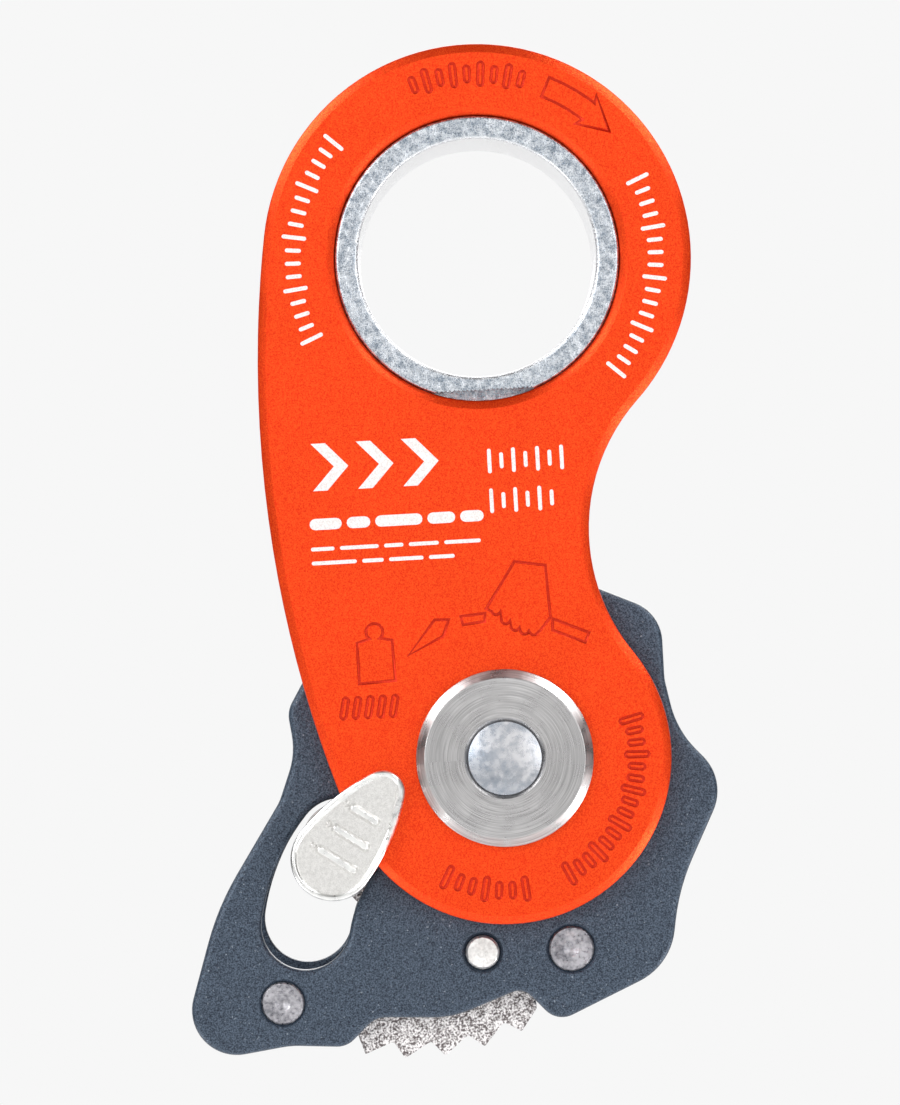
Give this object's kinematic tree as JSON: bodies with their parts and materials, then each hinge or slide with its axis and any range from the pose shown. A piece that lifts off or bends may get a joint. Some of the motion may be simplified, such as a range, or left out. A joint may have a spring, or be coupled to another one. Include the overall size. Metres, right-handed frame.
{
  "type": "ascender",
  "caption": "Rope-capture pulley that also works as a rope clamp: two side plates with a carabiner collar, and a swing frame with a toothed cam and thumb lever on the sheave's axle.",
  "frame": {"origin": "centre of the carabiner collar's bore, in the middle plane", "axes": "+Z from the main axle to the collar, +Y from the front (thumb pad) side to the rear, +X to the right seen from the front"},
  "size_m": [0.0503, 0.0282, 0.0942],
  "materials": {
    "plate_red": "fine-grained orange-red anodised",
    "plate_slate": "fine-grained slate blue anodised",
    "collar_aluminium": "turned, with fine scratches",
    "turned_steel": "lathe-turned",
    "rivet_steel": "satin",
    "spring_steel": "drawn wire",
    "sheave_aluminium": "satin, turned",
    "bearing_bronze": "sintered",
    "slide_plastic": "matte",
    "cast_steel": "grainy, as cast",
    "lever_metal": "bead-blasted, with a polished rim"
  },
  "bodies": {
    "side_body": {"front_side_plate": "plate_red", "rear_side_plate": "plate_red", "collar": "collar_aluminium", "axle_rivet": "turned_steel", "axle_sleeve": "turned_steel", "front_axle_washer": "turned_steel", "rear_axle_washer": "turned_steel"},
    "swing_frame": {"front_frame_plate": "plate_slate", "rear_frame_plate": "plate_slate", "left_rivet": "rivet_steel", "right_rivet": "rivet_steel", "left_spacer": "rivet_steel", "right_spacer": "rivet_steel", "cam_pin": "rivet_steel", "front_slide_washer": "slide_plastic", "rear_slide_washer": "slide_plastic", "cam_spring": "spring_steel"},
    "sheave": {"sheave_wheel": "sheave_aluminium", "sheave_bush": "bearing_bronze"},
    "cam_lever": {"toothed_cam": "cast_steel", "cam_bush": "bearing_bronze", "lever_post": "lever_metal", "thumb_pad": "lever_metal", "lever_screw": "rivet_steel"}
  },
  "joints": [
    {"name": "frame_swing", "type": "hinge", "parent": "side_body", "child": "swing_frame", "pos_m": [0, 0, -0.0465], "axis": [0, -1, 0], "range_deg": [0, 193]},
    {"name": "sheave_spin", "type": "hinge", "parent": "side_body", "child": "sheave", "pos_m": [0, 0, -0.0465], "axis": [0, -1, 0], "continuous": true},
    {"name": "cam_pivot", "type": "hinge", "parent": "swing_frame", "child": "cam_lever", "pos_m": [-0.00306, 0, -0.06458], "axis": [0, -1, 0], "range_deg": [0, 28.5]}
  ]
}
